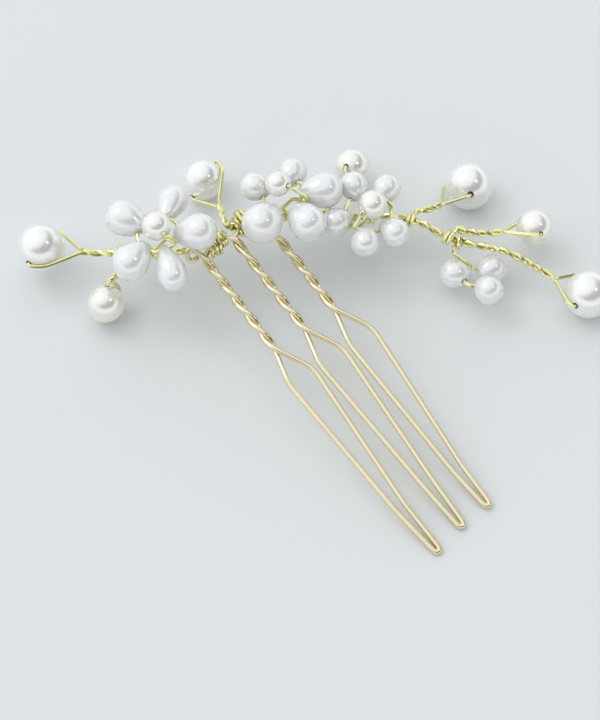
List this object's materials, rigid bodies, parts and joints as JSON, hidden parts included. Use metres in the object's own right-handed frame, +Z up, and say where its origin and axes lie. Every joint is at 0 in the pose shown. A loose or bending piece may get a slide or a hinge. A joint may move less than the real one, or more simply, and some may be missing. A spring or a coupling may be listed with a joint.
{
  "type": "decorative hair pin",
  "caption": "Gold wire comb with a spray of pearl and glass bead flowers; its prongs slide into pinned-up hair and hold there.",
  "frame": {"origin": "middle of the pin's footprint on the table it lies on", "axes": "+X along the spray towards its longer end, +Y away from the prongs' tips across the table, +Z up off the table"},
  "size_m": [0.098, 0.0722, 0.0183],
  "materials": {
    "comb_gold": "polished champagne gold plated wire",
    "craft_gold": "bright yellow-green gold craft wire",
    "white_pearl": "white pearl coating with a soft satin lustre",
    "cream_pearl": "cream pearl coating with a soft satin lustre",
    "glass_drop": "milky white lustred glass"
  },
  "bodies": {
    "pin": {"comb_wire": "comb_gold", "binding_left": "craft_gold", "binding_right": "craft_gold", "stem_left": "craft_gold", "stem_right": "craft_gold", "stem_lower_left": "craft_gold", "stem_upper_left": "craft_gold", "stem_upper_middle": "craft_gold", "stem_upper_right": "craft_gold", "stem_middle_right": "craft_gold", "flower_left_wire": "craft_gold", "flower_middle_wire": "craft_gold", "flower_right_wire": "craft_gold", "bud_wire": "craft_gold"},
    "pearl_left": {"pearl_left": "white_pearl"},
    "pearl_right": {"pearl_right": "white_pearl"},
    "pearl_lower_left": {"pearl_lower_left": "cream_pearl"},
    "pearl_upper_left": {"pearl_upper_left": "white_pearl"},
    "pearl_upper_middle": {"pearl_upper_middle": "cream_pearl"},
    "pearl_upper_right": {"pearl_upper_right": "white_pearl"},
    "pearl_middle_right": {"pearl_middle_right": "cream_pearl"},
    "flower_left_petal_1": {"flower_left_petal_1": "glass_drop"},
    "flower_left_petal_2": {"flower_left_petal_2": "glass_drop"},
    "flower_left_petal_3": {"flower_left_petal_3": "glass_drop"},
    "flower_left_petal_4": {"flower_left_petal_4": "glass_drop"},
    "flower_left_petal_5": {"flower_left_petal_5": "glass_drop"},
    "flower_left_pearl": {"flower_left_pearl": "cream_pearl"},
    "flower_middle_petal_1": {"flower_middle_petal_1": "glass_drop"},
    "flower_middle_petal_2": {"flower_middle_petal_2": "glass_drop"},
    "flower_middle_petal_3": {"flower_middle_petal_3": "glass_drop"},
    "flower_middle_petal_4": {"flower_middle_petal_4": "glass_drop"},
    "flower_middle_petal_5": {"flower_middle_petal_5": "glass_drop"},
    "flower_middle_pearl": {"flower_middle_pearl": "cream_pearl"},
    "flower_right_petal_1": {"flower_right_petal_1": "glass_drop"},
    "flower_right_petal_2": {"flower_right_petal_2": "glass_drop"},
    "flower_right_petal_3": {"flower_right_petal_3": "glass_drop"},
    "flower_right_petal_4": {"flower_right_petal_4": "glass_drop"},
    "flower_right_petal_5": {"flower_right_petal_5": "glass_drop"},
    "flower_right_pearl": {"flower_right_pearl": "cream_pearl"},
    "bud_petal_1": {"bud_petal_1": "glass_drop"},
    "bud_petal_2": {"bud_petal_2": "glass_drop"},
    "bud_petal_3": {"bud_petal_3": "glass_drop"}
  },
  "joints": [
    {"name": "pearl_left_spin", "type": "hinge", "parent": "pin", "child": "pearl_left", "pos_m": [-0.04509, 0.01635, 0.00652], "axis": [0.4519, 0.8736, -0.1807], "continuous": true},
    {"name": "pearl_right_spin", "type": "hinge", "parent": "pin", "child": "pearl_right", "pos_m": [0.04504, 0.00891, 0.00397], "axis": [-0.6172, -0.7226, 0.3111], "continuous": true},
    {"name": "pearl_lower_left_spin", "type": "hinge", "parent": "pin", "child": "pearl_lower_left", "pos_m": [-0.0343, 0.00711, 0.004], "axis": [0.1, 0.6301, 0.7701], "continuous": true},
    {"name": "pearl_upper_left_spin", "type": "hinge", "parent": "pin", "child": "pearl_upper_left", "pos_m": [-0.01878, 0.03135, 0.0035], "axis": [0.4902, 0.8603, 0.14], "continuous": true},
    {"name": "pearl_upper_middle_spin", "type": "hinge", "parent": "pin", "child": "pearl_upper_middle", "pos_m": [0.00639, 0.03303, 0.00498], "axis": [-0.3495, -0.4894, 0.799], "continuous": true},
    {"name": "pearl_upper_right_spin", "type": "hinge", "parent": "pin", "child": "pearl_upper_right", "pos_m": [0.02608, 0.02982, 0.004], "axis": [0, -0.8, 0.6], "continuous": true},
    {"name": "pearl_middle_right_spin", "type": "hinge", "parent": "pin", "child": "pearl_middle_right", "pos_m": [0.03662, 0.02037, 0.006], "axis": [0.2096, -0.7487, 0.6289], "continuous": true},
    {"name": "flower_left_petal_1_rock", "type": "hinge", "parent": "pin", "child": "flower_left_petal_1", "pos_m": [-0.02227, 0.01469, 0.01364], "axis": [0.0348, 0.9994, 0.0028], "range_deg": [-4, 4]},
    {"name": "flower_left_petal_2_rock", "type": "hinge", "parent": "pin", "child": "flower_left_petal_2", "pos_m": [-0.0245, 0.01778, 0.01347], "axis": [-0.9582, 0.2756, -0.0767], "range_deg": [-4, 4]},
    {"name": "flower_left_petal_3_rock", "type": "hinge", "parent": "pin", "child": "flower_left_petal_3", "pos_m": [-0.02802, 0.01635, 0.01318], "axis": [-0.4984, -0.866, -0.0399], "range_deg": [-4, 4]},
    {"name": "flower_left_petal_4_rock", "type": "hinge", "parent": "pin", "child": "flower_left_petal_4", "pos_m": [-0.02741, 0.0125, 0.01323], "axis": [0.7408, -0.6691, 0.0593], "range_deg": [-4, 4]},
    {"name": "flower_left_petal_5_rock", "type": "hinge", "parent": "pin", "child": "flower_left_petal_5", "pos_m": [-0.02439, 0.01186, 0.01347], "axis": [0.948, 0.309, 0.0758], "range_deg": [-4, 4]},
    {"name": "flower_left_pearl_spin", "type": "hinge", "parent": "pin", "child": "flower_left_pearl", "pos_m": [-0.02555, 0.0148, 0.01592], "axis": [0.4666, -0.8028, 0.3713], "continuous": true},
    {"name": "flower_middle_petal_1_rock", "type": "hinge", "parent": "pin", "child": "flower_middle_petal_1", "pos_m": [-0.0019, 0.0229, 0.013], "axis": [-0.1736, 0.9848, 0], "range_deg": [-4, 4]},
    {"name": "flower_middle_petal_2_rock", "type": "hinge", "parent": "pin", "child": "flower_middle_petal_2", "pos_m": [-0.00413, 0.02538, 0.013], "axis": [-0.9613, 0.2756, 0], "range_deg": [-4, 4]},
    {"name": "flower_middle_petal_3_rock", "type": "hinge", "parent": "pin", "child": "flower_middle_petal_3", "pos_m": [-0.00795, 0.02343, 0.013], "axis": [-0.342, -0.9397, 0], "range_deg": [-4, 4]},
    {"name": "flower_middle_petal_4_rock", "type": "hinge", "parent": "pin", "child": "flower_middle_petal_4", "pos_m": [-0.00666, 0.01969, 0.013], "axis": [0.848, -0.5299, 0], "range_deg": [-4, 4]},
    {"name": "flower_middle_petal_5_rock", "type": "hinge", "parent": "pin", "child": "flower_middle_petal_5", "pos_m": [-0.00319, 0.01978, 0.013], "axis": [0.8192, 0.5736, 0], "range_deg": [-4, 4]},
    {"name": "flower_middle_pearl_spin", "type": "hinge", "parent": "pin", "child": "flower_middle_pearl", "pos_m": [-0.006, 0.02265, 0.01615], "axis": [0.7778, -0.4687, 0.4188], "continuous": true},
    {"name": "flower_right_petal_1_rock", "type": "hinge", "parent": "pin", "child": "flower_right_petal_1", "pos_m": [0.00847, 0.01703, 0.0106], "axis": [0.9925, -0.1219, 0], "range_deg": [-4, 4]},
    {"name": "flower_right_petal_2_rock", "type": "hinge", "parent": "pin", "child": "flower_right_petal_2", "pos_m": [0.01158, 0.01823, 0.0106], "axis": [0.6561, 0.7547, 0], "range_deg": [-4, 4]},
    {"name": "flower_right_petal_3_rock", "type": "hinge", "parent": "pin", "child": "flower_right_petal_3", "pos_m": [0.01083, 0.02353, 0.0106], "axis": [-0.8387, 0.5446, 0], "range_deg": [-4, 4]},
    {"name": "flower_right_petal_4_rock", "type": "hinge", "parent": "pin", "child": "flower_right_petal_4", "pos_m": [0.00735, 0.02374, 0.0106], "axis": [-0.8988, -0.4384, 0], "range_deg": [-4, 4]},
    {"name": "flower_right_petal_5_rock", "type": "hinge", "parent": "pin", "child": "flower_right_petal_5", "pos_m": [0.00553, 0.01946, 0.0106], "axis": [0.309, -0.9511, 0], "range_deg": [-4, 4]},
    {"name": "flower_right_pearl_spin", "type": "hinge", "parent": "pin", "child": "flower_right_pearl", "pos_m": [0.0095, 0.02035, 0.01335], "axis": [-0.6184, -0.7181, 0.3192], "continuous": true},
    {"name": "bud_petal_1_rock", "type": "hinge", "parent": "pin", "child": "bud_petal_1", "pos_m": [0.02504, 0.01223, 0.00422], "axis": [-0.309, -0.8913, 0.3319], "range_deg": [-4, 4]},
    {"name": "bud_petal_2_rock", "type": "hinge", "parent": "pin", "child": "bud_petal_2", "pos_m": [0.02747, 0.01045, 0.00488], "axis": [0.848, 0.4966, -0.1849], "range_deg": [-4, 4]},
    {"name": "bud_petal_3_rock", "type": "hinge", "parent": "pin", "child": "bud_petal_3", "pos_m": [0.02786, 0.01274, 0.00403], "axis": [-0.6428, 0.7179, -0.2673], "range_deg": [-4, 4]}
  ]
}
